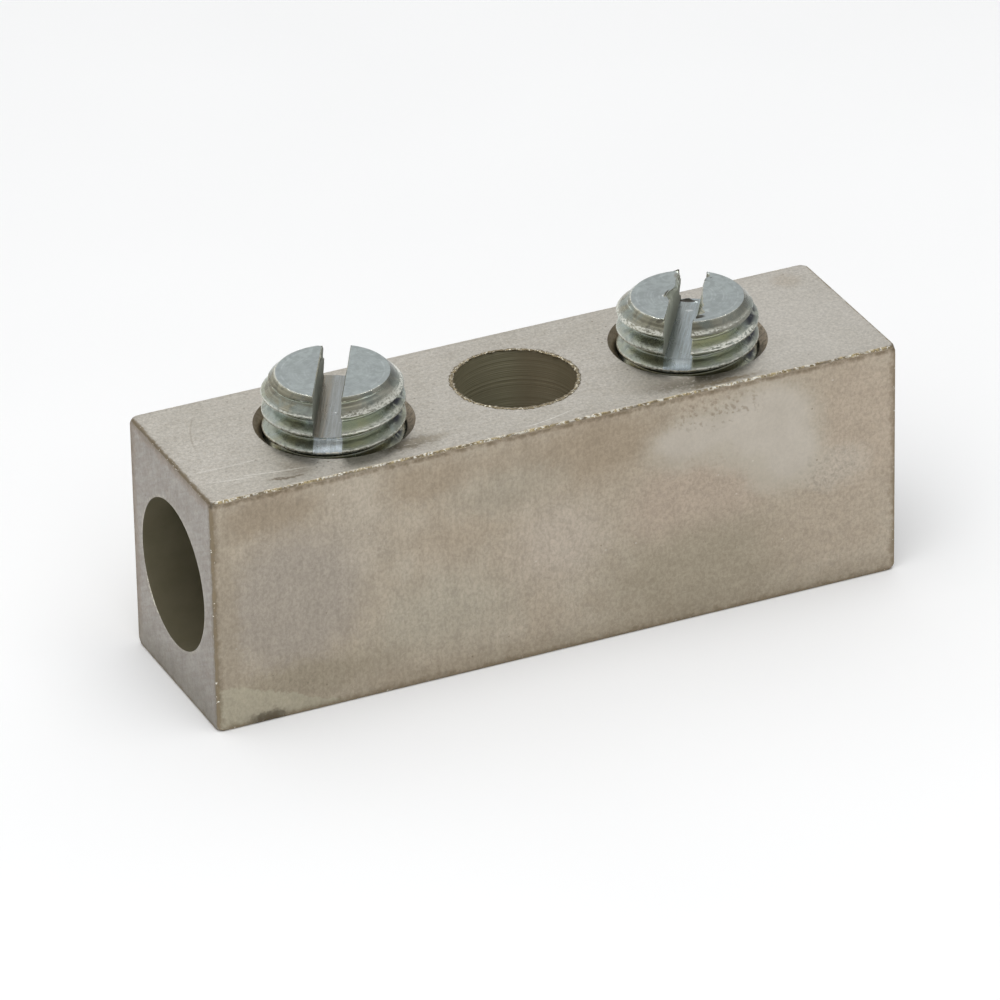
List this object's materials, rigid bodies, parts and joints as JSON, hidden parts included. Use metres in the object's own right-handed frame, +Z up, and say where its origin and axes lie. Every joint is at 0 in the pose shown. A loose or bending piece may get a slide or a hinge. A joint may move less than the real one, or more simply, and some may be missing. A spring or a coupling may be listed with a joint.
{
  "type": "set-screw wire splice connector",
  "caption": "Rectangular metal splice block with a wire bore along it, slotted set screws above each end and an inspection hole between them.",
  "frame": {"origin": "middle of the bar's flat bottom face", "axes": "+X along the bar and its wire bore, +Z up, the way the set screws back out; +Y away from the viewer in the picture"},
  "size_m": [0.0826, 0.0226, 0.0344],
  "materials": {
    "plated_aluminium": "dull tin plate, brushed and mottled",
    "zinc_plated_steel": "bright zinc plate over steel"
  },
  "bodies": {
    "block": {"connector_block": "plated_aluminium"},
    "left_screw": {"left_set_screw": "zinc_plated_steel"},
    "right_screw": {"right_set_screw": "zinc_plated_steel"}
  },
  "joints": [
    {"name": "left_screw_travel", "type": "slide", "parent": "block", "child": "left_screw", "axis": [0, 0, 1], "range_m": [-0.0122, 0.0006]},
    {"name": "right_screw_travel", "type": "slide", "parent": "block", "child": "right_screw", "axis": [0, 0, 1], "range_m": [-0.0115, 0.0013]}
  ]
}
